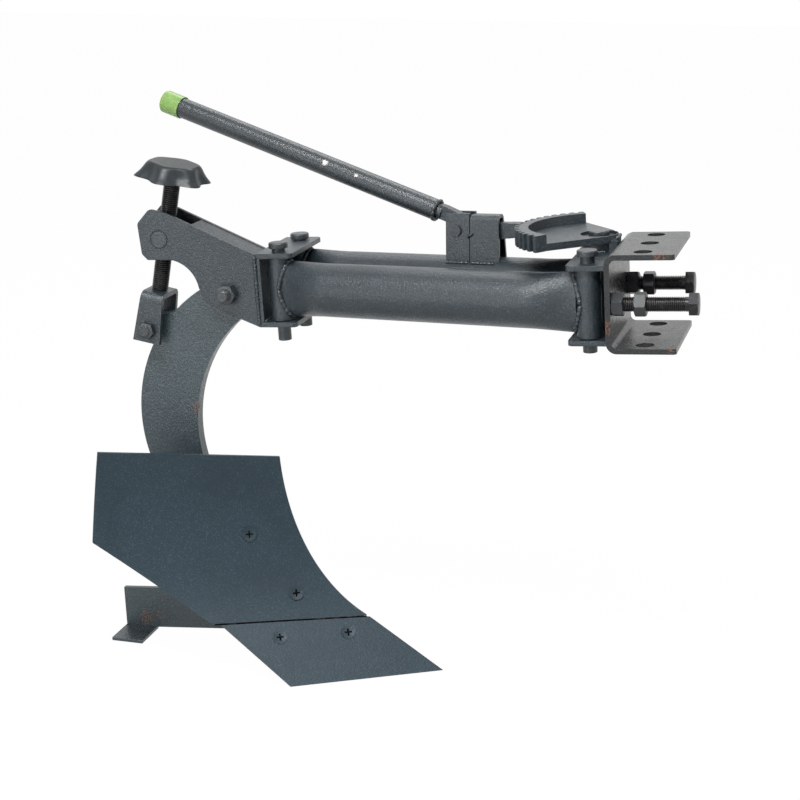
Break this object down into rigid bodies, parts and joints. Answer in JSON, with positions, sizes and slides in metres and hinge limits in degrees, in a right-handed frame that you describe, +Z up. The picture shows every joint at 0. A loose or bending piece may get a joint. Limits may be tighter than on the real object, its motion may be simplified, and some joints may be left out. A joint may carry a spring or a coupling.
{
  "type": "moldboard plough",
  "caption": "Single-furrow mouldboard plough for a walking tractor, with a side-swing parallel hitch, toothed sector with locking lever, and a screw that sets the body's pitch.",
  "frame": {"origin": "on the axis of the middle hitch hole, at the underside of the lower flange", "axes": "+X forward, in the direction of travel, +Y to the plough's left, +Z up, standing as it parks on its share and heel"},
  "size_m": [0.7367, 0.2616, 0.6849],
  "materials": {
    "frame_paint": "hammered dark slate paint, slightly speckled",
    "body_paint": "dark slate paint",
    "board_paint": "dark blue-grey paint, satin",
    "share_steel": "dark paint over hardened steel",
    "pin_steel": "dark paint",
    "black_bolt": "black oxide",
    "plough_bolt": "black oxide",
    "green_cap": "glossy green"
  },
  "bodies": {
    "hitch": {"hitch_channel": "frame_paint", "front_top_plate": "frame_paint", "front_bottom_plate": "frame_paint", "sector": "frame_paint", "front_pins": "pin_steel", "adjuster_bolts": "black_bolt", "adjuster_nuts": "black_bolt"},
    "right_beam": {"right_beam_tube": "frame_paint", "right_beam_sleeves": "frame_paint"},
    "left_beam": {"left_beam_tube": "frame_paint", "left_beam_sleeves": "frame_paint", "lever_guide": "frame_paint", "lever_bracket": "frame_paint", "lever_pin": "pin_steel"},
    "lock_lever": {"lever_bar": "frame_paint", "handle_tube": "frame_paint", "handle_cap": "green_cap"},
    "rear_frame": {"rear_back_plate": "frame_paint", "rear_top_plate": "frame_paint", "rear_bottom_plate": "frame_paint", "rear_pins": "pin_steel", "right_side_plate": "frame_paint", "left_side_plate": "frame_paint", "cover_plate": "frame_paint", "pivot_bolt": "black_bolt"},
    "trunnion": {"trunnion": "frame_paint"},
    "screw": {"adjusting_screw": "black_bolt", "screw_knob": "frame_paint", "screw_fork": "frame_paint", "fork_bolt": "black_bolt"},
    "plough_body": {"shank": "body_paint", "frog": "body_paint", "share": "share_steel", "mouldboard": "board_paint", "plough_bolts": "plough_bolt", "landside": "body_paint", "landside_bolts": "plough_bolt", "heel_foot": "body_paint"}
  },
  "joints": [
    {"name": "left_beam_swing", "type": "hinge", "parent": "hitch", "child": "left_beam", "pos_m": [-0.06522, 0.039, 0.0458], "axis": [-0.061, 0, 0.9981], "range_deg": [-15.4, 40.6]},
    {"name": "right_beam_swing", "type": "hinge", "parent": "hitch", "child": "right_beam", "pos_m": [-0.06522, -0.039, 0.0458], "axis": [-0.061, 0, 0.9981], "range_deg": [-15.7, 40.9]},
    {"name": "rear_frame_swing", "type": "hinge", "parent": "left_beam", "child": "rear_frame", "pos_m": [-0.45096, 0.12538, 0.02221], "axis": [-0.061, 0, 0.9981], "range_deg": [-40.9, 15.7]},
    {"name": "lock_lever_lift", "type": "hinge", "parent": "left_beam", "child": "lock_lever", "pos_m": [-0.23683, 0.07656, 0.09893], "axis": [0.2177, 0.9759, 0.0133], "range_deg": [0, 14]},
    {"name": "plough_body_pitch", "type": "hinge", "parent": "rear_frame", "child": "plough_body", "pos_m": [-0.51191, 0.05099, 0.01568], "axis": [0, 1, 0], "range_deg": [-10, 10]},
    {"name": "trunnion_turn", "type": "hinge", "parent": "rear_frame", "child": "trunnion", "pos_m": [-0.5991, 0.05099, 0.07667], "axis": [0, 1, 0], "range_deg": [-6.3, 6.3]},
    {"name": "screw_travel", "type": "slide", "parent": "trunnion", "child": "screw", "axis": [0.1576, 0, 0.9875], "range_m": [-0.0168, 0.0168]}
  ],
  "couplings": [
    {"joint": "right_beam_swing", "follows": "left_beam_swing", "ratio": 1},
    {"joint": "rear_frame_swing", "follows": "left_beam_swing", "ratio": -1},
    {"joint": "trunnion_turn", "follows": "plough_body_pitch", "ratio": 0.59047},
    {"joint": "screw_travel", "follows": "plough_body_pitch", "m_per_rad": 0.09571}
  ]
}
